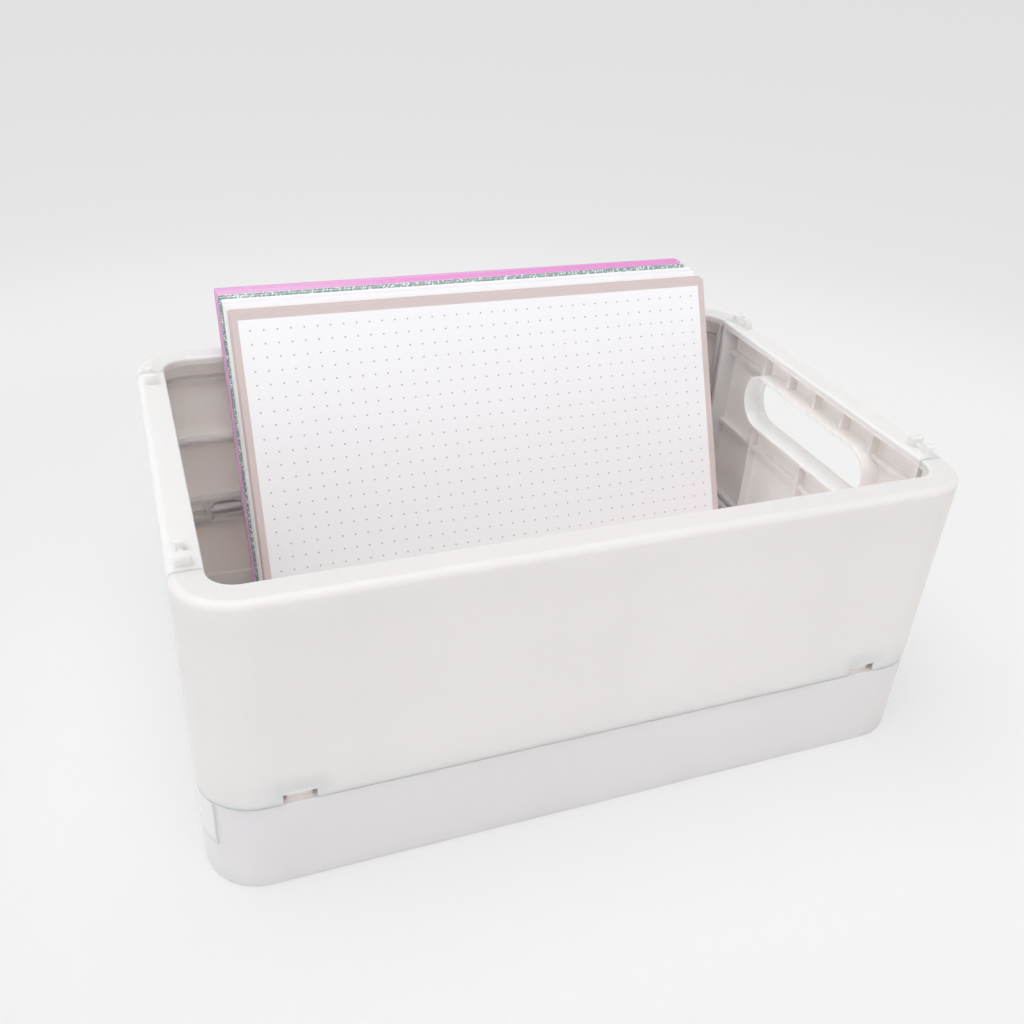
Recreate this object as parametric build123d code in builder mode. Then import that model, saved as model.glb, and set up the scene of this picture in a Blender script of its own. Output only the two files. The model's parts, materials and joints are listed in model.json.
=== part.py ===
from build123d import *
import os
from math import cos, radians, sin, tan

os.makedirs("parts", exist_ok=True)

# Crate, in millimetres. Origin: centre of the footprint on the table. +X to the right, +Z up.
length = 254.0
width = 168.6
height = 107.0
corner_radius = 18.0
skin = 2.2              # moulded wall thickness
rib_depth = 6.0         # from the outer face to the edge of a rib
rail_depth = 7.3        # the same for the rails either side of the parting line
rim_width = 9.7
rim_thickness = 3.0
rim_rounding = 2.4
inner_rounding = 0.8
rib_thickness = 1.8
flange_thickness = 2.0
seam = 0.4              # gap between two mouldings

# Base tray
parting_height = 33.2
floor_top = 3.0
underside_recess = 1.0
floor_rounding = 1.0
foot_width = 12.0
foot_rounding = 1.0
lip_height = 2.4
sill_height = 15.6      # what is left of the base below each end panel
sill_half = 77.2

# Long walls
wall_bottom = parting_height + seam
rib_levels = (95.8, 69.8, 42.2)
upright_spacing = 78.0
return_end = 65.4       # where a wall's corner return stops
return_flange = 67.2    # the flange that closes it stands back, behind a dark gap
knob_radius = 1.7
knob_height = 97.0

# Hinges: a knuckle on the base stands in a pocket, round a pin that is moulded across the pocket
knuckle_radius = 3.1
knuckle_length = 7.7
knuckle_inner_length = 11.5     # of the half that faces into the crate, at the long walls
bore_radius = 1.65
pin_radius = 1.5
clip_mouth = 2.4
pocket_width = 10.0
pocket_inner_width = 14.0
pocket_skin = 1.0
pocket_height = 8.0
cheek = 2.0
wall_hinge_x = 99.0
wall_hinge_height = 37.0
wall_hinge_inset = 4.6
wall_notch_height = 3.4
end_hinge_y = 48.0
end_hinge_height = 20.4
end_hinge_inset = 5.0
end_notch_height = 4.0

# End panels
panel_half = 65.0
panel_bottom = sill_height + seam
wing_top = 32.4
wing_half = sill_half - seam
bottom_rail = 2.6
end_rib_spacing = 17.9
end_rib_levels = (92.8, 59.3, 24.9)
end_rib_depth = 4.8     # of the level ribs; the upright ones are as deep as on the walls
handle_length = 80.0
handle_height = 20.6
handle_middle = 83.4
collar_wall = 1.2

# Stacking lugs on the rim of each end panel, as distances from the middle of that rim
lug_height = 3.4
lug_wide = (4.4, 2.6)
lug_narrow = (2.6, 2.6)
lug_wide_at = (-55.4, 62.0)
lug_narrow_at = (-62.0, 54.8)
bridge_height = 1.4
bridge_width = 1.6
socket_clearance = 0.4
socket_depth = 3.8
socket_roof = 1.6

# Cards, which lean back against the rim of the back wall
card_width = 194.4
card_thickness = 0.78
card_pitch = 0.83
sheet_thickness = 0.18
sheet_border = (2.6, 2.4)
lean = 24.7
card_middle_x = 4.6
card_clearance = 0.3    # between the last card and the rim, and between two decks
card_lift = 0.2         # from the floor

# Decks, front to back: name, number of cards, height of a card, shift to the left
decks = (
    ("taupe_card", 5, 136.6, 0.0),
    ("white_card", 7, 138.2, 0.9),
    ("glitter_card", 3, 138.7, 1.9),
    ("pink_card", 5, 139.3, 2.6),
    ("lilac_card", 1, 139.3, 2.6),
)

half_length = length / 2
half_width = width / 2
wall_hinge_y = half_width - wall_hinge_inset
end_hinge_x = half_length - end_hinge_inset
lug_x = half_length - rim_width / 2 + 0.2


def ring(bottom, outer_inset, inner_inset):
    """Flat ring between two outlines of the box, each set in from its outer face."""
    with BuildSketch(Plane.XY.offset(bottom)) as profile:
        for inset, mode in ((outer_inset, Mode.ADD), (inner_inset, Mode.SUBTRACT)):
            RectangleRounded(length - 2 * inset, width - 2 * inset, corner_radius - inset, mode=mode)
    return profile.sketch


def block(x_range, y_range, z_range, mode=Mode.ADD):
    """Box between three pairs of limits, added to the part being built."""
    sizes = [high - low for low, high in (x_range, y_range, z_range)]
    middle = [(low + high) / 2 for low, high in (x_range, y_range, z_range)]
    with Locations(tuple(middle)):
        Box(*sizes, mode=mode)


def mirrored(low, high, sign):
    """The limits low to high on one side of the middle, in rising order."""
    return (low, high) if sign > 0 else (-high, -low)


def span(middle, size):
    """The limits of something of this size about its middle."""
    return (middle - size / 2, middle + size / 2)


# Upper shell: rim and skin in one piece, from which the walls and the end panels are cut
with BuildPart() as upper_shell:
    extrude(ring(wall_bottom, 0, skin), amount=height - wall_bottom)
    extrude(ring(height - rim_thickness, 0, rim_width), amount=rim_thickness)
    top_edges = upper_shell.edges().group_by(Axis.Z)[-1]
    top_edges = top_edges.sort_by(
        lambda edge: max(abs(edge.center().X) / half_length, abs(edge.center().Y) / half_width))
    fillet(top_edges[-8:], radius=rim_rounding)
    inner_top = upper_shell.edges().filter_by_position(Axis.Z, height - 0.01, height + 0.01).sort_by(
        lambda edge: max(abs(edge.center().X) / half_length, abs(edge.center().Y) / half_width))
    fillet(inner_top[:8], radius=inner_rounding)


# Long wall at the front, with its ribs, corner returns, hinge pockets and pins
with BuildPart() as front_wall:
    add(upper_shell.part)
    for level in rib_levels:
        extrude(ring(level - rib_thickness / 2, skin / 2, rib_depth), amount=rib_thickness)
    extrude(ring(wall_bottom, skin / 2, rail_depth), amount=bottom_rail)
    split(bisect_by=Plane.XZ.offset(return_end), keep=Keep.TOP)
    for x in (-upright_spacing, 0, upright_spacing):
        block(span(x, rib_thickness), (-half_width + skin / 2, -half_width + rib_depth),
              (wall_bottom, height - rim_thickness / 2))
    for side in (-1, 1):
        block(mirrored(half_length - rim_width, half_length - skin / 2, side),
              (-return_flange - flange_thickness, -return_flange),
              (wall_bottom, height - rim_thickness / 2))
        with Locations(Location((side * (half_length - rim_width / 2), -return_flange, knob_height), (-90, 0, 0))):
            Cone(knob_radius, knob_radius / 2, return_flange - return_end - seam / 2,
                 align=(Align.CENTER, Align.CENTER, Align.MIN))
        notch = span(side * wall_hinge_x, pocket_width)
        pocket = span(side * wall_hinge_x, pocket_inner_width)
        block((pocket[0] - cheek, pocket[1] + cheek), (-half_width + skin / 2, -half_width + rail_depth),
              (wall_bottom, wall_bottom + pocket_height))
        block(pocket, (-half_width + pocket_skin, -half_width + rim_width),
              (wall_bottom - 1, wall_bottom + pocket_height), mode=Mode.SUBTRACT)
        block(notch, (-half_width - 1, -half_width + skin),
              (wall_bottom - 1, wall_bottom + wall_notch_height), mode=Mode.SUBTRACT)
        with Locations(Location((side * wall_hinge_x, -wall_hinge_y, wall_hinge_height), (0, 90, 0))):
            Cylinder(pin_radius, pocket_inner_width + cheek)
front_wall.part.label = "front_wall"
export_step(front_wall.part, "parts/front_wall.step")


with BuildPart() as back_wall:
    add(front_wall.part.rotate(Axis.Z, 180))
back_wall.part.label = "back_wall"
export_step(back_wall.part, "parts/back_wall.step")


# End panel on the right: skin with lower wings, rim, side flanges, ribs, handle and stacking lugs
with BuildPart() as right_end_panel:
    add(upper_shell.part)
    split(bisect_by=Plane.YZ.offset(half_length - rim_width), keep=Keep.TOP)
    block((0, length), (-panel_half, panel_half), (0, 2 * height), mode=Mode.INTERSECT)
    with BuildSketch(Plane.XY.offset(panel_bottom)) as wings:
        RectangleRounded(length, width, corner_radius)
        RectangleRounded(length - 2 * skin, width - 2 * skin, corner_radius - skin, mode=Mode.SUBTRACT)
        with Locations((half_length, 0)):
            Rectangle(length, 2 * wing_half, mode=Mode.INTERSECT)
    extrude(wings.sketch, amount=wing_top - panel_bottom)
    inner_edge = half_length - rim_width
    rib_edge = half_length - rib_depth
    block((half_length - skin, half_length), (-panel_half, panel_half), (panel_bottom, wall_bottom + 1))
    block((half_length - rail_depth, half_length - skin / 2), (-panel_half, panel_half),
          (panel_bottom, panel_bottom + bottom_rail))
    for side in (-1, 1):
        block((inner_edge, half_length - skin / 2), mirrored(panel_half - flange_thickness, panel_half, side),
              (panel_bottom + bottom_rail, height - rim_thickness / 2))
    for level in end_rib_levels:
        block((half_length - end_rib_depth, half_length - skin / 2), (-panel_half, panel_half),
              span(level, rib_thickness))
    for step in (-2, -1, 0, 1, 2):
        block((rib_edge, half_length - skin / 2), span(step * end_rib_spacing, rib_thickness),
              (handle_middle, height - rim_thickness / 2))
    for step in (-2, 0, 2):
        block((rib_edge, half_length - skin / 2), span(step * end_rib_spacing, rib_thickness),
              (panel_bottom, handle_middle))
    handle_plane = Plane(origin=(inner_edge, 0, handle_middle), x_dir=(0, 1, 0), z_dir=(1, 0, 0))
    with BuildSketch(handle_plane) as collar:
        SlotOverall(handle_length + 2 * collar_wall, handle_height + 2 * collar_wall)
    extrude(collar.sketch, amount=rim_width - skin / 2)
    with BuildSketch(handle_plane.offset(-1)) as handle:
        SlotOverall(handle_length, handle_height)
    extrude(handle.sketch, amount=rim_width + 2, mode=Mode.SUBTRACT)
    for side in (-1, 1):
        pocket = span(side * end_hinge_y, pocket_width)
        block((half_length - rail_depth, half_length - skin / 2), (pocket[0] - cheek, pocket[1] + cheek),
              (panel_bottom, panel_bottom + pocket_height))
        block((half_length - rim_width, half_length - pocket_skin), pocket,
              (panel_bottom - 1, panel_bottom + pocket_height), mode=Mode.SUBTRACT)
        block((half_length - skin, half_length + 1), pocket,
              (panel_bottom - 1, panel_bottom + end_notch_height), mode=Mode.SUBTRACT)
        with Locations(Location((end_hinge_x, side * end_hinge_y, end_hinge_height), (90, 0, 0))):
            Cylinder(pin_radius, pocket_width + cheek)
    for size, places in ((lug_wide, lug_wide_at), (lug_narrow, lug_narrow_at)):
        for y in places:
            block(span(lug_x, size[0]), span(y, size[1]), (height - rim_thickness / 2, height + lug_height))
    for pair in zip(lug_wide_at, lug_narrow_at):
        block(span(lug_x, bridge_width), sorted(pair), (height - rim_thickness / 2, height + bridge_height))
right_end_panel.part.label = "right_end_panel"
export_step(right_end_panel.part, "parts/right_end_panel.step")


with BuildPart() as left_end_panel:
    add(right_end_panel.part.rotate(Axis.Z, 180))
left_end_panel.part.label = "left_end_panel"
export_step(left_end_panel.part, "parts/left_end_panel.step")


# Base tray: floor, low walls with a lip, knuckles for the walls and for the end panels, stacking sockets
with BuildPart() as base_tray:
    with BuildSketch():
        RectangleRounded(length, width, corner_radius)
    extrude(amount=parting_height)
    fillet(base_tray.edges().group_by(Axis.Z)[0], radius=foot_rounding)
    with BuildSketch(Plane.XY.offset(floor_top)):
        RectangleRounded(length - 2 * skin, width - 2 * skin, corner_radius - skin)
    extrude(amount=parting_height, mode=Mode.SUBTRACT)
    fillet(base_tray.edges().filter_by_position(Axis.Z, floor_top - 0.01, floor_top + 0.01),
           radius=floor_rounding)
    with BuildSketch():
        RectangleRounded(length - 2 * foot_width, width - 2 * foot_width, corner_radius - foot_width)
    extrude(amount=underside_recess, mode=Mode.SUBTRACT)
    extrude(ring(parting_height - lip_height, skin / 2, rail_depth), amount=lip_height)
    for end in (-1, 1):
        block(mirrored(half_length - corner_radius, length, end), (-sill_half, sill_half),
              (sill_height, height), mode=Mode.SUBTRACT)
    for side in (-1, 1):
        for end in (-1, 1):
            x = side * wall_hinge_x
            y = end * wall_hinge_y
            block(span(x, knuckle_inner_length),
                  mirrored(wall_hinge_y - knuckle_radius + 0.6, wall_hinge_y + knuckle_radius - 0.6, end),
                  (parting_height - lip_height, wall_hinge_height))
            with Locations(Location((x, y, wall_hinge_height), (0, 90, 0))):
                Cylinder(knuckle_radius, knuckle_inner_length)
                Cylinder(bore_radius, pocket_inner_width, mode=Mode.SUBTRACT)
            shortening = (pocket_inner_width - knuckle_length) / 2
            for shoulder in (-1, 1):
                block(span(x + shoulder * (knuckle_length + shortening) / 2, shortening),
                      mirrored(wall_hinge_y, half_width, end), (parting_height, height), mode=Mode.SUBTRACT)
            block(span(x, pocket_inner_width), mirrored(wall_hinge_y - knuckle_radius - 1, wall_hinge_y, end),
                  span(wall_hinge_height, clip_mouth), mode=Mode.SUBTRACT)
            x = side * end_hinge_x
            y = end * end_hinge_y
            block(mirrored(end_hinge_x - knuckle_radius + 0.6, end_hinge_x + knuckle_radius - 0.6, side),
                  span(y, knuckle_length), (floor_top - 1, end_hinge_height))
            with Locations(Location((x, y, end_hinge_height), (90, 0, 0))):
                Cylinder(knuckle_radius, knuckle_length)
                Cylinder(bore_radius, knuckle_length + 2, mode=Mode.SUBTRACT)
            block(mirrored(end_hinge_x - knuckle_radius - 1, end_hinge_x, side), span(y, pocket_width),
                  span(end_hinge_height, clip_mouth), mode=Mode.SUBTRACT)
    for end in (-1, 1):
        for size, places in ((lug_wide, lug_wide_at), (lug_narrow, lug_narrow_at)):
            for place in places:
                outside = [extent + 2 * (socket_clearance + socket_roof) for extent in size]
                block(span(end * lug_x, outside[0]), span(end * place, outside[1]),
                      (floor_top - 1, socket_depth + socket_roof))
    for end in (-1, 1):
        for size, places in ((lug_wide, lug_wide_at), (lug_narrow, lug_narrow_at)):
            for place in places:
                inside = [extent + 2 * socket_clearance for extent in size]
                block(span(end * lug_x, inside[0]), span(end * place, inside[1]), (-1, socket_depth),
                      mode=Mode.SUBTRACT)
base_tray.part.label = "base_tray"
export_step(base_tray.part, "parts/base_tray.step")


# Cards. They stand on the floor and lean back, so their top edges are level with each other
rim_edge_y = half_width - rim_width
foot_height = floor_top + card_lift
face_normal = (0, -cos(radians(lean)), sin(radians(lean)))


def card_back(distance, x):
    """Plane of a card's back face, a distance in front of the rim that the pack leans on."""
    y = rim_edge_y - distance / cos(radians(lean)) - (height - foot_height) * tan(radians(lean))
    return Plane(origin=(x, y, foot_height), x_dir=(1, 0, 0), z_dir=face_normal)


distance = card_clearance
for deck, count, card_height, shift in reversed(decks):
    for place in range(count, 0, -1):
        jitter = 0.25 * sin(2.4 * place + count)
        with BuildPart() as card:
            with BuildSketch(card_back(distance, card_middle_x - shift + jitter)):
                Rectangle(card_width, card_height + jitter, align=(Align.CENTER, Align.MIN))
            extrude(amount=card_thickness)
        name = deck if count == 1 else f"{deck}_{place}"
        card.part.label = name
        export_step(card.part, f"parts/{name}.step")
        distance += card_pitch
        if name == "taupe_card_2":
            distance += card_clearance
    if deck != "lilac_card":
        distance += card_clearance
# What is left from the loop is the front card, which carries the printed sheet
front_face = distance - card_clearance - card_pitch + card_thickness
sheet_size = (card_width - 2 * sheet_border[0], card_height - 2 * sheet_border[1])
with BuildPart() as dot_sheet:
    with BuildSketch(card_back(front_face, card_middle_x)):
        with Locations((0, card_height / 2)):
            Rectangle(*sheet_size)
    extrude(amount=sheet_thickness)
dot_sheet.part.label = "dot_sheet"
export_step(dot_sheet.part, "parts/dot_sheet.step")
print("dotted sheet:", sheet_size, "face at", front_face + sheet_thickness, "mm from the back of the pack")
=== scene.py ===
import bpy
import json
import math
import random
from mathutils import Matrix, Vector


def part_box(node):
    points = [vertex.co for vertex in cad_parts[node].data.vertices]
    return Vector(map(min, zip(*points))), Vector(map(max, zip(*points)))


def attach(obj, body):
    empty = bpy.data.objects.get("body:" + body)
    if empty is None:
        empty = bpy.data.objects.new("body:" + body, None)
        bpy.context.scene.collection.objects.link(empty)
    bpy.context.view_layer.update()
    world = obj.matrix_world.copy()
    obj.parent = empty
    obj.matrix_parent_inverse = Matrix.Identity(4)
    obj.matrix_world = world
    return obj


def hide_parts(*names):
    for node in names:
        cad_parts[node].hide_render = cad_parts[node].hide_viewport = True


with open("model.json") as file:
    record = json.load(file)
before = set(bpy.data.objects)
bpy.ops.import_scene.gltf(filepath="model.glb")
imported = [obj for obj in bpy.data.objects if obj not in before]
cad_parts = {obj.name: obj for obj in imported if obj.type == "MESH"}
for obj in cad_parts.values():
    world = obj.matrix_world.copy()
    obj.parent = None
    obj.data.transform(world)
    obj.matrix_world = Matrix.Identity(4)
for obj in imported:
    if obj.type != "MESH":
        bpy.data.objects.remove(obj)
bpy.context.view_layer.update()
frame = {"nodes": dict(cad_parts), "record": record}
nodes = frame["nodes"]
mm = 0.001
perMetre = 1000.0
scene = bpy.context.scene
scene.view_settings.view_transform = "Standard"

# camera, where the photograph was taken from

camera = {"place": (-0.12703, -0.30054, 0.26631), "turn": -22.3, "down": 31.53, "roll": 3.72, "lens": 36.21,
          "film": 36, "near": 0.01}

lens = bpy.data.cameras.new("photoCamera")
lens.lens = camera["lens"]
lens.sensor_width = camera["film"]
lens.clip_start = camera["near"]
viewer = bpy.data.objects.new("photoCamera", lens)
scene.collection.objects.link(viewer)
viewer.matrix_world = (Matrix.Translation(camera["place"])
                       @ Matrix.Rotation(math.radians(camera["turn"]), 4, "Z")
                       @ Matrix.Rotation(math.radians(90 - camera["down"]), 4, "X")
                       @ Matrix.Rotation(math.radians(camera["roll"]), 4, "Z"))
scene.camera = viewer
print("camera in place")


# node helpers

def addNode(tree, kind, spot, **settings):
    node = tree.nodes.new("ShaderNode" + kind)
    node.location = spot
    for key, value in settings.items():
        setattr(node, key, value)
    return node


def plug(tree, socket, value):
    if isinstance(value, bpy.types.NodeSocket):
        tree.links.new(value, socket)
    else:
        socket.default_value = value


def sums(tree, operation, *values, spot=(0, 0)):
    node = addNode(tree, "Math", spot, operation=operation)
    for socket, value in zip(node.inputs, values):
        plug(tree, socket, value)
    return node.outputs[0]


def ramp(tree, value, low, high, toLow=0.0, toHigh=1.0, spot=(0, 0)):
    node = addNode(tree, "MapRange", spot, interpolation_type="SMOOTHSTEP")
    for socket, setting in zip(node.inputs, (value, low, high, toLow, toHigh)):
        plug(tree, socket, setting)
    return node.outputs[0]


def noise(tree, vector, scale, detail, spot):
    node = addNode(tree, "TexNoise", spot)
    for label, value in (("Vector", vector), ("Scale", scale), ("Detail", detail)):
        plug(tree, node.inputs[label], value)
    return node.outputs[0]


def laid(tree, vector, turn, scale, spot):
    node = addNode(tree, "Mapping", spot)
    for label, value in (("Vector", vector), ("Rotation", turn), ("Scale", scale)):
        plug(tree, node.inputs[label], value)
    return node.outputs[0]


def splitCoordinate(tree, output, spot):
    node = addNode(tree, "SeparateXYZ", spot)
    plug(tree, node.inputs[0], addNode(tree, "TexCoord", (spot[0] - 200, spot[1])).outputs[output])
    return node.outputs


def blendColours(tree, share, first, second, mode="MIX", spot=(0, 0)):
    node = addNode(tree, "Mix", spot, data_type="RGBA", blend_type=mode)
    plug(tree, node.inputs[0], share)
    plug(tree, node.inputs[6], first)
    plug(tree, node.inputs[7], second)
    return node.outputs[2]


def greyColour(tree, value, spot):
    node = addNode(tree, "CombineColor", spot)
    for socket in node.inputs:
        plug(tree, socket, value)
    return node.outputs[0]


def shaded(colour, share):
    return [part * share for part in colour[:3]] + [1]


def addRelief(tree, shader, height, spot=(300, -200)):
    bump = addNode(tree, "Bump", spot)
    bump.inputs["Distance"].default_value = mm
    plug(tree, bump.inputs["Height"], height)
    plug(tree, shader["Normal"], bump.outputs[0])


def newGroup(name, inputs, outputs):
    group = bpy.data.node_groups.new(name, "ShaderNodeTree")
    for label, kind, value in inputs:
        socket = group.interface.new_socket(name=label, in_out="INPUT", socket_type="NodeSocket" + kind)
        socket.default_value = value
    for label, kind in outputs:
        group.interface.new_socket(name=label, in_out="OUTPUT", socket_type="NodeSocket" + kind)
    entry = group.nodes.new("NodeGroupInput")
    entry.location = (-900, 0)
    leaving = group.nodes.new("NodeGroupOutput")
    leaving.location = (900, 0)
    return group, entry.outputs, leaving.inputs


def useGroup(tree, group, spot, **values):
    node = addNode(tree, "Group", spot, node_tree=group)
    for label, value in values.items():
        plug(tree, node.inputs[label], value)
    return node.outputs


def newMaterial(name, shine):
    material = bpy.data.materials.new(name)
    material.use_nodes = True
    tree = material.node_tree
    tree.nodes.clear()
    surface = addNode(tree, "BsdfPrincipled", (600, 0))
    for label, value in shine.items():
        surface.inputs[label].default_value = value
    ending = addNode(tree, "OutputMaterial", (900, 0))
    tree.links.new(surface.outputs[0], ending.inputs[0])
    return material, tree, surface.inputs


# fine texture of a spark-eroded mould, slow changes of tone, and handling scuffs; heights are in millimetres

mould = {
    "grain": {"detail": 3, "depth": 0.012},
    "flow": {"detail": 4, "span": (0.3, 0.7)},
    "rubs": {"turn": (0.3, 0.5, 0.2), "scale": (60, 420, 700), "detail": 5, "span": (0.60, 0.74)},
    "patches": {"scale": 24, "detail": 2, "span": (0.52, 0.66)},
}


def makeMouldedGroup():
    group, given, wanted = newGroup(
        "mouldedSkin",
        [("Grain", "Float", 2600.0), ("Mottle", "Float", 16.0), ("Scuff", "Float", 0.5)],
        [("Height", "Float"), ("Tone", "Float"), ("Scuffs", "Float")])
    rubs, patches = mould["rubs"], mould["patches"]
    where = addNode(group, "TexCoord", (-900, 300)).outputs["Object"]
    grain = noise(group, where, given["Grain"], mould["grain"]["detail"], (-600, 300))
    flow = noise(group, where, given["Mottle"], mould["flow"]["detail"], (-600, 0))
    rub = noise(group, laid(group, where, rubs["turn"], rubs["scale"], (-750, -300)), 1, rubs["detail"], (-600, -300))
    patch = noise(group, where, patches["scale"], patches["detail"], (-600, -550))
    scuffed = sums(group, "MULTIPLY", ramp(group, rub, *rubs["span"], spot=(-350, -300)),
                   ramp(group, patch, *patches["span"], spot=(-350, -550)), spot=(-100, -400))
    relief = sums(group, "SUBTRACT", grain, 0.5, spot=(-350, 300))
    plug(group, wanted["Height"], sums(group, "MULTIPLY", relief, mould["grain"]["depth"], spot=(-100, 300)))
    plug(group, wanted["Tone"], ramp(group, flow, *mould["flow"]["span"], spot=(-350, 0)))
    plug(group, wanted["Scuffs"], sums(group, "MULTIPLY", scuffed, given["Scuff"], spot=(200, -400)))
    return group


# the shallow dip that a rib leaves on the other side of a moulded wall

def makeSinkGroup():
    group, given, wanted = newGroup(
        "sinkLine", [("Along", "Float", 0.0), ("Place", "Float", 0.0), ("Width", "Float", 2.2)], [("Dip", "Float")])
    offset = sums(group, "SUBTRACT", given["Along"], given["Place"], spot=(-600, 0))
    share = sums(group, "DIVIDE", offset, given["Width"], spot=(-400, 0))
    square = sums(group, "MULTIPLY", share, share, spot=(-200, 0))
    bell = sums(group, "EXPONENT", sums(group, "MULTIPLY", square, -1.0, spot=(0, 0)), spot=(200, 0))
    plug(group, wanted["Dip"], bell)
    return group


# felted fibres of paper and card: tone runs from 0 to 1, height is in millimetres

fibres = {"detail": 4, "tone": (0.35, 0.65), "lays": ((0.4, (0.35, 1.6, 1)), (1.9, (0.3, 1.4, 1)))}


def makeFibreGroup():
    group, given, wanted = newGroup(
        "paperFibre", [("Size", "Float", 900.0), ("Depth", "Float", 0.01)], [("Tone", "Float"), ("Height", "Float")])
    where = addNode(group, "TexCoord", (-900, 300)).outputs["Object"]
    strands = []
    for row, (turn, scale) in enumerate(fibres["lays"]):
        level = 300 * (1 - row)
        lay = laid(group, where, (0, 0, turn), scale, (-750, level))
        strands.append(noise(group, lay, given["Size"], fibres["detail"], (-600, level)))
    felt = sums(group, "MULTIPLY", sums(group, "ADD", *strands, spot=(-300, 150)), 0.5, spot=(-100, 150))
    plug(group, wanted["Tone"], ramp(group, felt, *fibres["tone"], spot=(200, 200)))
    plug(group, wanted["Height"], sums(group, "MULTIPLY", felt, given["Depth"], spot=(200, 0)))
    return group


# where a card is cut, and the plies that show there; the flank share carries painted light and shade on the side
# edges, and the margin share darkens the edge by the faces, partly as a crushed cut and partly as painted shade in
# the seams between cards

cutting = {"edge": (0.35, 0.85), "flank": (0.4, 0.8), "ply": (0.3, 0.7), "plyDetail": 2, "margin": (0.30, 0.48)}


def makeCutGroup():
    group, given, wanted = newGroup(
        "cutEdge", [("Plies", "Float", 9.0), ("Thickness", "Float", 0.78)],
        [("Edge", "Float"), ("Ply", "Float"), ("Margin", "Float"), ("FlankPaintedLight", "Float")])
    facing = splitCoordinate(group, "Normal", (-700, 200))
    depth = splitCoordinate(group, "Object", (-700, -100))["Z"]
    flat = sums(group, "ABSOLUTE", facing["Z"], spot=(-500, 200))
    plug(group, wanted["Edge"], ramp(group, flat, *cutting["edge"], 1.0, 0.0, spot=(-300, 200)))
    beside = sums(group, "ABSOLUTE", facing["X"], spot=(-500, 400))
    plug(group, wanted["FlankPaintedLight"], ramp(group, beside, *cutting["flank"], spot=(-300, 400)))
    level = sums(group, "DIVIDE", sums(group, "MULTIPLY", depth, perMetre, spot=(-500, -100)),
                 given["Thickness"], spot=(-300, -100))
    ply = addNode(group, "TexNoise", (0, -100), noise_dimensions="1D")
    plug(group, ply.inputs["W"], sums(group, "MULTIPLY", level, given["Plies"], spot=(-150, -100)))
    ply.inputs["Scale"].default_value = 1
    ply.inputs["Detail"].default_value = cutting["plyDetail"]
    plug(group, wanted["Ply"], ramp(group, ply.outputs[0], *cutting["ply"], spot=(300, -100)))
    middle = sums(group, "ABSOLUTE", sums(group, "SUBTRACT", level, 0.5, spot=(-150, -300)), spot=(0, -300))
    plug(group, wanted["Margin"], ramp(group, middle, *cutting["margin"], spot=(300, -300)))
    return group


# inner faces of the crate, which get a painted light: a rounded outline, and how far a spot lies inside it, as a
# share of the skin

inner = {"through": (0.35, 0.8)}


def makePaintedGlowGroup():
    group, given, wanted = newGroup(
        "paintedInnerGlow",
        [("Half X", "Float", 127.0), ("Half Y", "Float", 84.3), ("Corner", "Float", 18.0), ("Skin", "Float", 2.2),
         ("Top", "Float", 105.0), ("Bottom", "Float", 2.0)],
        [("Inside", "Float")])
    split = splitCoordinate(group, "Object", (-700, 0))
    beyond = []
    for axis, half in (("X", given["Half X"]), ("Y", given["Half Y"])):
        measured = sums(group, "MULTIPLY", split[axis], perMetre, spot=(-550, 0))
        reach = sums(group, "ABSOLUTE", measured, spot=(-400, 0))
        straight = sums(group, "SUBTRACT", half, given["Corner"])
        past = sums(group, "MAXIMUM", sums(group, "SUBTRACT", reach, straight), 0.0)
        beyond.append(sums(group, "MULTIPLY", past, past))
    depth = sums(group, "SUBTRACT", given["Corner"], sums(group, "SQRT", sums(group, "ADD", *beyond)))
    flank = ramp(group, sums(group, "DIVIDE", depth, given["Skin"]), *inner["through"], spot=(300, 100))
    height = sums(group, "MULTIPLY", split["Z"], perMetre, spot=(-550, -200))
    below = sums(group, "LESS_THAN", height, given["Top"], spot=(100, -100))
    above = sums(group, "GREATER_THAN", height, given["Bottom"], spot=(100, -200))
    between = sums(group, "MULTIPLY", below, above, spot=(300, -150))
    plug(group, wanted["Inside"], sums(group, "MULTIPLY", flank, between, spot=(600, 0)))
    return group


mouldedSkin = makeMouldedGroup()
sinkLine = makeSinkGroup()
paperFibre = makeFibreGroup()
cutEdge = makeCutGroup()
paintedInnerGlow = makePaintedGlowGroup()
print("shader groups made")

# crate: the moulded parts keep the frame's shapes and get the plastic of each moulding; ribs are in millimetres

# the inner colours are painted light: the inner faces are lighter and warmer than the outer ones, standing in for
# light glowing through the plastic and bouncing inside the crate
crate = {
    "walls": {"nodes": ("front_wall", "back_wall"), "across": "X", "upright": (-78.0, 0.0, 78.0), "level": (69.8,),
              "colour": (0.735, 0.721, 0.717, 1), "inner": (0.990, 0.915, 0.883, 1)},
    "ends": {"nodes": ("left_end_panel", "right_end_panel"), "across": "Y", "upright": (-35.8, 0.0, 35.8),
             "level": (59.3,), "colour": (0.762, 0.757, 0.754, 1), "inner": (0.990, 0.925, 0.898, 1)},
    "base": {"nodes": ("base_tray",), "across": "X", "upright": (-73.0, -9.0, 41.0), "level": (),
             "colour": (0.698, 0.690, 0.702, 1), "inner": (0.96, 0.89, 0.86, 1)},
    "shine": {"IOR": 1.49, "Specular IOR Level": 0.42, "Subsurface Weight": 0.85,
              "Subsurface Radius": (1.0, 0.83, 0.76), "Subsurface Scale": 0.0048},
    "skin": {"Grain": 2400.0, "Mottle": 14.0, "Scuff": 0.6},
    "sinkDepth": 0.03, "sinkWidth": 2.6, "roughness": (0.36, 0.46), "polish": 0.12, "tone": 0.018,
}


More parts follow.
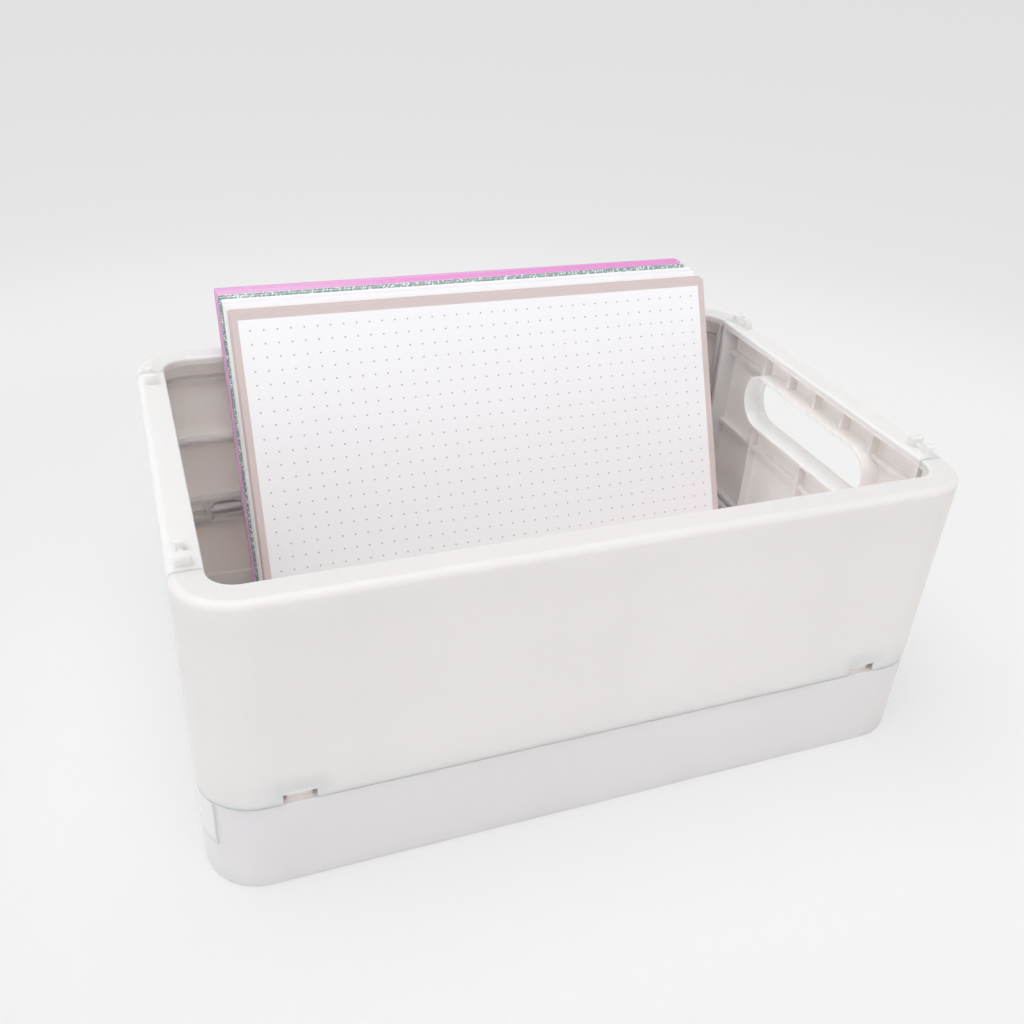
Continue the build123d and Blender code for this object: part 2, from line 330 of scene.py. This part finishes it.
def plasticMaterial(name, look):
    material, tree, shader = newMaterial(name, crate["shine"])
    skin = useGroup(tree, mouldedSkin, (-600, 200), **crate["skin"])
    parts = splitCoordinate(tree, "Object", (-800, -300))
    dips = 0.0
    for axis, places in ((look["across"], look["upright"]), ("Z", look["level"])):
        for place in places:
            along = sums(tree, "MULTIPLY", parts[axis], perMetre, spot=(-600, -300))
            dip = useGroup(tree, sinkLine, (-400, -300), Along=along, Place=place, Width=crate["sinkWidth"])["Dip"]
            dips = sums(tree, "MAXIMUM", dips, dip, spot=(-200, -300))
    # painted light: a lighter, warmer colour on the inner faces of the crate
    inside = useGroup(tree, paintedInnerGlow, (-600, 0))["Inside"]
    colour = blendColours(tree, inside, look["colour"], look["inner"], spot=(-400, 300))
    dull = [1 - crate["tone"]] * 3 + [1]
    patchy = blendColours(tree, skin["Tone"], dull, (1, 1, 1, 1), spot=(-400, 500))
    plug(tree, shader["Base Color"], blendColours(tree, 1.0, colour, patchy, "MULTIPLY", spot=(-200, 300)))
    rough = ramp(tree, skin["Tone"], 0.0, 1.0, *crate["roughness"], spot=(0, 100))
    polished = sums(tree, "MULTIPLY", skin["Scuffs"], crate["polish"], spot=(0, -50))
    plug(tree, shader["Roughness"], sums(tree, "SUBTRACT", rough, polished, spot=(200, 100)))
    sunk = sums(tree, "MULTIPLY", dips, crate["sinkDepth"], spot=(-100, -300))
    addRelief(tree, shader, sums(tree, "SUBTRACT", skin["Height"], sunk, spot=(0, -200)))
    return material


def dress(node, material):
    slots = nodes[node].material_slots
    if not slots:
        nodes[node].data.materials.append(material)
    for slot in nodes[node].material_slots:
        slot.material = material


for moulding in ("walls", "ends", "base"):
    look = crate[moulding]
    plastic = plasticMaterial(moulding + "Plastic", look)
    for node in look["nodes"]:
        dress(node, plastic)
print("crate dressed")

# cards: each one is cut from sheet, with slightly crushed edges, and leans at the angle of the pack;
# a pale share of the pink ones fades out between the two places of turn, in metres along the pack

cards = {
    "lean": 24.7, "thickness": 0.78, "edge": 0.10, "crush": 0.3, "corner": 0.25, "askew": 0.04, "slip": 0.12,
    "seed": 11, "shine": {"IOR": 1.45, "Specular IOR Level": 0.25}, "fibre": {"Size": 700.0, "Depth": 0.012},
    # crushed: a darker tone at the edge margins, partly the crushed burr of the cut and partly painted shade in the
    # seams between stacked cards
    "plies": 9.0, "shade": 0.97, "plyShade": 0.92, "crushed": (0.78, 0.76, 0.77, 1), "tint": (0.95, 1.0),
    "roughness": (0.62, 0.78),
    # a deck's flank colour is painted light and shade: the same cut as its core, made lighter or darker on the side
    # edges for how light falls there
    "decks": {
        "taupe": {"names": ["taupe_card_%d" % n for n in range(1, 6)], "slot": "taupe_card",
                  "face": (0.672, 0.580, 0.572, 1), "core": (0.93, 0.84, 0.83, 1), "flank": (0.93, 0.82, 0.81, 1)},
        "white": {"names": ["white_card_%d" % n for n in (1, 2, 4, 5, 6, 7)], "slot": "white_card",
                  "face": (0.93, 0.93, 0.94, 1), "core": (0.885, 0.885, 0.90, 1), "flank": (0.97, 0.96, 0.96, 1)},
        "palest": {"names": ["white_card_3"], "slot": "white_card",
                   "face": (0.88, 0.86, 0.93, 1), "core": (0.86, 0.84, 0.915, 1), "flank": (0.93, 0.91, 0.94, 1)},
        "pink": {"names": ["pink_card_%d" % n for n in (1, 2, 3)], "slot": "pink_card",
                 "face": (0.84, 0.355, 0.70, 1), "core": (0.87, 0.385, 0.74, 1), "flank": (0.57, 0.31, 0.48, 1),
                 "pale": (0.82, 0.485, 0.735, 1), "turn": (-0.08, -0.02)},
        "rose": {"names": ["pink_card_%d" % n for n in (4, 5)], "slot": "pink_card",
                 "face": (0.80, 0.40, 0.70, 1), "core": (0.88, 0.41, 0.76, 1), "flank": (0.57, 0.33, 0.50, 1),
                 "pale": (0.84, 0.51, 0.755, 1), "turn": (-0.01, 0.06)},
        "lilac": {"names": ["lilac_card"], "slot": "lilac_card",
                  "face": (0.78, 0.46, 0.74, 1), "core": (0.84, 0.56, 0.78, 1), "flank": (0.58, 0.36, 0.58, 1)},
        "glitter": {"names": ["glitter_card_%d" % n for n in (1, 2, 3)], "slot": "glitter_card",
                    "face": (0.17, 0.26, 0.25, 1), "core": (0.34, 0.44, 0.425, 1),
                    "silver": (0.91, 0.94, 0.92, 1), "teal": (0.42, 0.60, 0.55, 1), "topGlint": (0.85, 0.15)},
    },
}


def slabMesh(name, wide, tall, thick, edge, corner, steps=3):
    crushed = edge * cards["crush"]
    profile = ((edge, 0), (crushed, crushed), (0, edge),
               (0, thick - edge), (crushed, thick - crushed), (edge, thick))
    middles = ((1, 1), (-1, 1), (-1, -1), (1, -1))
    points = []
    for inset, depth in profile:
        for quarter, (right, up) in enumerate(middles):
            for step in range(steps + 1):
                angle = math.pi / 2 * (quarter + step / steps)
                radius = corner - inset
                points.append((right * (wide / 2 - corner) + radius * math.cos(angle),
                               tall / 2 + up * (tall / 2 - corner) + radius * math.sin(angle), depth))
    count = 4 * (steps + 1)
    faces = [list(range(count))[::-1], list(range(len(points) - count, len(points)))]
    for level in range(len(profile) - 1):
        for n in range(count):
            after = (n + 1) % count
            faces.append((level * count + n, level * count + after,
                          (level + 1) * count + after, (level + 1) * count + n))
    mesh = bpy.data.meshes.new(name)
    mesh.from_pydata(points, [], faces)
    mesh.validate()
    return mesh


def leaningFrame(node, thick):
    low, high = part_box(node)
    sine, cosine = math.sin(math.radians(cards["lean"])), math.cos(math.radians(cards["lean"]))
    turn = Matrix(((1, 0, 0), (0, sine, -cosine), (0, cosine, sine))).to_4x4()
    foot = Vector(((low.x + high.x) / 2, low.y + thick * cosine, low.z))
    return Matrix.Translation(foot) @ turn, high.x - low.x, (high.z - low.z - thick * sine) / cosine


def bodyOf(node):
    for body, members in frame["record"]["behaviour"]["bodies"].items():
        if node in members:
            return body


def cardMaterial(name, deck):
    material, tree, shader = newMaterial(name, cards["shine"])
    fibre = useGroup(tree, paperFibre, (-600, 200), **cards["fibre"])
    cut = useGroup(tree, cutEdge, (-600, -50), Plies=cards["plies"], Thickness=cards["thickness"])
    face = blendColours(tree, fibre["Tone"], shaded(deck["face"], cards["shade"]), deck["face"], spot=(-350, 300))
    core = blendColours(tree, cut["Ply"], shaded(deck["core"], cards["plyShade"]), deck["core"], spot=(-350, 50))
    if "pale" in deck:
        across = splitCoordinate(tree, "Object", (-600, -400))["X"]
        paler = ramp(tree, across, *deck["turn"], 1.0, 0.0, spot=(-450, -400))
        face = blendColours(tree, paler, face, deck["pale"], spot=(-300, 500))
        core = blendColours(tree, paler, core, deck["pale"], spot=(-300, -100))
    # painted light and shade: cut edges facing left or right take the flank colour, lighter for white cards and
    # darker for pink and lilac ones
    core = blendColours(tree, cut["FlankPaintedLight"], core, deck["flank"], spot=(-250, 50))
    # partly painted shade: the cut edge darkens where it meets the card's faces, as a crushed burr and as shade in
    # the seams between cards
    core = blendColours(tree, cut["Margin"], core, cards["crushed"], "MULTIPLY", spot=(-180, 50))
    colour = blendColours(tree, cut["Edge"], face, core, spot=(-100, 200))
    chance = addNode(tree, "ObjectInfo", (-800, 100)).outputs["Random"]
    tint = greyColour(tree, ramp(tree, chance, 0.0, 1.0, *cards["tint"], spot=(-350, -200)), (-150, -200))
    plug(tree, shader["Base Color"], blendColours(tree, 1.0, colour, tint, "MULTIPLY", spot=(150, 200)))
    plug(tree, shader["Roughness"], ramp(tree, fibre["Tone"], 0.0, 1.0, *cards["roughness"], spot=(150, 0)))
    addRelief(tree, shader, fibre["Height"])
    return material


# glitter: flakes on a dark card; its upward cut edges carry a painted glint, silver at the left turning teal at the
# right

glitter = {
    "flakes": 2000, "upper": (0.08, 0.35), "glintSpan": (-0.07, 0.08), "lift": 0.32, "bright": (0.66, 0.86),
    "teal": (0.0, 0.065), "cover": 0.95, "flake": (0.81, 0.86, 0.85, 1), "metal": 0.55, "roughness": (0.22, 0.55),
    "depth": 0.02,
}


def glitterMaterial(name, deck):
    material, tree, shader = newMaterial(name, {"IOR": 1.5})
    where = addNode(tree, "TexCoord", (-900, 0)).outputs["Object"]
    flake = addNode(tree, "TexVoronoi", (-650, 0))
    plug(tree, flake.inputs["Vector"], where)
    flake.inputs["Scale"].default_value = glitter["flakes"]
    pick = addNode(tree, "SeparateColor", (-450, 0))
    plug(tree, pick.inputs[0], flake.outputs["Color"])
    across = splitCoordinate(tree, "Object", (-650, 600))["X"]
    facing = splitCoordinate(tree, "Normal", (-650, 400))["Y"]
    # painted glint: the upward cut edges turn silver, standing in for top light glinting on the flakes, thinning from
    # left to right
    upper = ramp(tree, facing, *glitter["upper"], spot=(-450, 400))
    thinning = ramp(tree, across, *glitter["glintSpan"], *deck["topGlint"], spot=(-450, 600))
    topGlint = sums(tree, "MULTIPLY", upper, thinning, spot=(-250, 500))
    sprinkled = sums(tree, "MULTIPLY_ADD", topGlint, glitter["lift"], pick.outputs[0], spot=(-250, 200))
    bright = ramp(tree, sprinkled, *glitter["bright"], spot=(-250, 100))
    greener = ramp(tree, across, *glitter["teal"], spot=(-450, 800))
    sheen = blendColours(tree, greener, deck["silver"], deck["teal"], spot=(-250, 800))
    cover = sums(tree, "MULTIPLY", upper, glitter["cover"], spot=(-250, 700))
    colour = blendColours(tree, pick.outputs[1], deck["face"], deck["core"], spot=(-250, 300))
    colour = blendColours(tree, cover, colour, sheen, spot=(-100, 400))
    plug(tree, shader["Base Color"], blendColours(tree, bright, colour, glitter["flake"], spot=(0, 300)))
    plug(tree, shader["Metallic"], sums(tree, "MULTIPLY", bright, glitter["metal"], spot=(0, 100)))
    plug(tree, shader["Roughness"], ramp(tree, pick.outputs[2], 0.0, 1.0, *glitter["roughness"], spot=(0, -50)))
    addRelief(tree, shader, sums(tree, "MULTIPLY", pick.outputs[0], glitter["depth"], spot=(0, -200)))
    return material


chance = random.Random(cards["seed"])
for deckName, deck in cards["decks"].items():
    make = glitterMaterial if "topGlint" in deck else cardMaterial
    finish = make(deckName + "Card", deck)
    for node in deck["names"]:
        thick = cards["thickness"] * mm
        stand, wide, tall = leaningFrame(node, thick)
        slab = slabMesh(node, wide, tall, thick, cards["edge"] * mm, cards["corner"] * mm)
        piece = bpy.data.objects.new(node + ".cut", slab)
        scene.collection.objects.link(piece)
        slip = Matrix.Translation((chance.uniform(-1, 1) * cards["slip"] * mm, 0, 0))
        askew = Matrix.Rotation(math.radians(chance.uniform(-1, 1) * cards["askew"]), 4, "Z")
        piece.matrix_world = stand @ slip @ askew
        piece.data.materials.append(finish)
        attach(piece, bodyOf(node))
        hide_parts(node)
print("cards cut")

# dotted sheet, glued to the front card; first is the corner dot's distance from the left and top edges

sheet = {
    "thickness": 0.18, "edge": 0.05, "corner": 0.2, "pitch": (4.908, 4.96), "first": (3.9, 4.0),
    "dot": 0.32, "blur": 0.07, "paper": (0.908, 0.910, 0.938, 1), "ink": (0.42, 0.40, 0.425, 1), "shade": 0.985,
    "shine": {"IOR": 1.45, "Specular IOR Level": 0.3}, "fibre": {"Size": 1300.0, "Depth": 0.005},
    "roughness": (0.55, 0.68),
}


def dotMaterial(wide, tall):
    material, tree, shader = newMaterial("dottedPaper", sheet["shine"])
    fibre = useGroup(tree, paperFibre, (-600, 300), **sheet["fibre"])
    parts = splitCoordinate(tree, "Object", (-1000, 0))
    squares = []
    for axis, start, sign, pitch in (("X", -wide / 2 / mm + sheet["first"][0], 1, sheet["pitch"][0]),
                                     ("Y", tall / mm - sheet["first"][1], -1, sheet["pitch"][1])):
        run = sums(tree, "MULTIPLY_ADD", parts[axis], perMetre * sign / pitch, -start * sign / pitch + 0.5,
                   spot=(-800, 0))
        offset = sums(tree, "SUBTRACT", sums(tree, "FRACT", run, spot=(-600, 0)), 0.5, spot=(-450, 0))
        offset = sums(tree, "MULTIPLY", offset, pitch, spot=(-300, 0))
        squares.append(sums(tree, "MULTIPLY", offset, offset, spot=(-150, 0)))
    away = sums(tree, "SQRT", sums(tree, "ADD", *squares, spot=(0, 0)), spot=(100, 0))
    ink = ramp(tree, away, sheet["dot"] - sheet["blur"], sheet["dot"] + sheet["blur"], 1.0, 0.0, spot=(200, 0))
    paper = blendColours(tree, fibre["Tone"], shaded(sheet["paper"], sheet["shade"]), sheet["paper"], spot=(0, 300))
    plug(tree, shader["Base Color"], blendColours(tree, ink, paper, sheet["ink"], spot=(350, 200)))
    plug(tree, shader["Roughness"], ramp(tree, fibre["Tone"], 0.0, 1.0, *sheet["roughness"], spot=(350, 0)))
    addRelief(tree, shader, fibre["Height"], (350, -200))
    return material


thin = sheet["thickness"] * mm
stand, wide, tall = leaningFrame("dot_sheet", thin)
slab = slabMesh("dottedSheet", wide, tall, thin, sheet["edge"] * mm, sheet["corner"] * mm)
dotted = bpy.data.objects.new("dottedSheet", slab)
scene.collection.objects.link(dotted)
dotted.matrix_world = stand
dotted.data.materials.append(dotMaterial(wide, tall))
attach(dotted, bodyOf("dot_sheet"))
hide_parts("dot_sheet")
print("sheet laid")

# studio: a pale table that sweeps up all round, soft lamps and an even sky; the table's look to the camera is painted
# shade, darker at the left where the lamps and sky light it more, and a painted glow that fades with the distance
# from the middle into the tone of the sky

studio = {
    "flat": 0.62, "flatSteps": 4, "sweep": 0.42, "sweepSteps": 12, "rise": 0.02, "rings": 96,
    "board": {"Roughness": 0.9, "Specular IOR Level": 0.1}, "floor": (0.93, 0.93, 0.93, 1),
    "across": (-0.45, 0.45), "look": (0.775, 0.905), "far": (0.26, 0.50), "raised": (0.5, 1.0),
    "fade": ((0.40, (0.88, 0.88, 0.88, 1)), (0.60, (0.80, 0.80, 0.805, 1)), (0.85, (0.765, 0.765, 0.77, 1)),
             (1.0, (0.745, 0.745, 0.755, 1))),
    "sky": {"front": 0.80, "left": 0.80, "right": 0.10, "back": 0.40}, "seen": (0.735, 0.735, 0.745, 1),
    "lamps": {"keyPanel": {"place": (-0.20, 0.0, 1.20), "size": 1.2, "power": 8.3},
              "frontPanel": {"place": (-0.15, -0.60, 1.05), "size": 0.9, "power": 2.6}},
}


def coveMesh():
    flat, sweep, count = studio["flat"], studio["sweep"], studio["rings"]
    profile = [(flat * n / studio["flatSteps"], 0.0) for n in range(1, studio["flatSteps"] + 1)]
    for n in range(1, studio["sweepSteps"] + 1):
        angle = math.pi / 2 * n / studio["sweepSteps"]
        profile.append((flat + sweep * math.sin(angle), sweep * (1 - math.cos(angle))))
    profile.append((flat + sweep, sweep + studio["rise"]))
    points, faces = [(0, 0, 0)], []
    for radius, level in profile:
        points += [(radius * math.cos(2 * math.pi * n / count), radius * math.sin(2 * math.pi * n / count), level)
                   for n in range(count)]
    for n in range(count):
        after = (n + 1) % count
        faces.append((0, 1 + n, 1 + after))
        for ring in range(len(profile) - 1):
            low, high = 1 + ring * count, 1 + (ring + 1) * count
            faces.append((low + n, high + n, high + after, low + after))
    mesh = bpy.data.meshes.new("cove")
    mesh.from_pydata(points, [], faces)
    mesh.polygons.foreach_set("use_smooth", [True] * len(mesh.polygons))
    return mesh


def chooseShader(tree, share, first, second, ending, spot):
    chooser = addNode(tree, "MixShader", spot)
    plug(tree, chooser.inputs[0], share)
    tree.links.new(first, chooser.inputs[1])
    tree.links.new(second, chooser.inputs[2])
    tree.links.new(chooser.outputs[0], ending)


def boardMaterial():
    material, tree, shader = newMaterial("studioBoard", studio["board"])
    principled = next(node for node in tree.nodes if node.type == "BSDF_PRINCIPLED")
    ending = next(node for node in tree.nodes if node.type == "OUTPUT_MATERIAL")
    parts = splitCoordinate(tree, "Object", (-800, -300))
    direct = addNode(tree, "LightPath", (-600, 500)).outputs["Is Camera Ray"]
    # painted shade: the table's colour to the camera darkens towards the left, where the lamps and sky light it more
    tone = ramp(tree, parts["X"], *studio["across"], *studio["look"], spot=(-600, 200))
    look = greyColour(tree, tone, (-400, 200))
    plug(tree, shader["Base Color"], blendColours(tree, direct, studio["floor"], look, spot=(-200, 300)))
    squares = [sums(tree, "MULTIPLY", parts[axis], parts[axis], spot=(-600, -300)) for axis in "XY"]
    reach = sums(tree, "SQRT", sums(tree, "ADD", *squares, spot=(-450, -300)), spot=(-300, -300))
    fade = addNode(tree, "ValToRGB", (-150, -300))
    while len(fade.color_ramp.elements) < len(studio["fade"]):
        fade.color_ramp.elements.new(0.5)
    for element, (place, shade) in zip(fade.color_ramp.elements, studio["fade"]):
        element.position, element.color = place, shade
    plug(tree, fade.inputs[0], reach)
    # painted light: a glow seen only by the camera, darker with the distance from the middle, standing in for light
    # falling off over the table
    lit = addNode(tree, "Emission", (100, -300))
    plug(tree, lit.inputs["Color"], fade.outputs[0])
    raised = ramp(tree, reach, *studio["far"], *studio["raised"], spot=(-150, 0))
    share = sums(tree, "MULTIPLY", direct, raised, spot=(100, 200))
    chooseShader(tree, share, principled.outputs[0], lit.outputs[0], ending.inputs[0], (800, -200))
    return material


cove = bpy.data.objects.new("cove", coveMesh())
scene.collection.objects.link(cove)
cove.data.materials.append(boardMaterial())

for name, lamp in studio["lamps"].items():
    light = bpy.data.lights.new(name, "AREA")
    light.shape = "DISK"
    light.size = lamp["size"]
    light.energy = lamp["power"]
    stander = bpy.data.objects.new(name, light)
    scene.collection.objects.link(stander)
    stander.location = lamp["place"]
    stander.rotation_euler = (-Vector(lamp["place"])).to_track_quat("-Z", "Y").to_euler()

world = bpy.data.worlds.new("studioSky")
scene.world = world
world.use_nodes = True
tree = world.node_tree
tree.nodes.clear()
glow = addNode(tree, "Background", (0, 100))
glow.inputs["Color"].default_value = (1, 1, 1, 1)
way = splitCoordinate(tree, "Generated", (-800, 0))
strength = 0.0
for side, axis, sign in (("front", "Y", -1.0), ("left", "X", -1.0), ("right", "X", 1.0), ("back", "Y", 1.0)):
    toward = sums(tree, "MAXIMUM", sums(tree, "MULTIPLY", way[axis], sign), 0.0, spot=(-600, 0))
    strength = sums(tree, "MULTIPLY_ADD", toward, studio["sky"][side], strength, spot=(-400, 0))
plug(tree, glow.inputs["Strength"], strength)
plain = addNode(tree, "Background", (0, -100))
plain.inputs["Color"].default_value = studio["seen"]
path = addNode(tree, "LightPath", (-400, 300))
seen = sums(tree, "MAXIMUM", path.outputs["Is Camera Ray"], path.outputs["Is Glossy Ray"], spot=(-200, 300))
ending = addNode(tree, "OutputWorld", (450, 0))
chooseShader(tree, seen, glow.outputs[0], plain.outputs[0], ending.inputs[0], (250, 0))
print("studio lit")
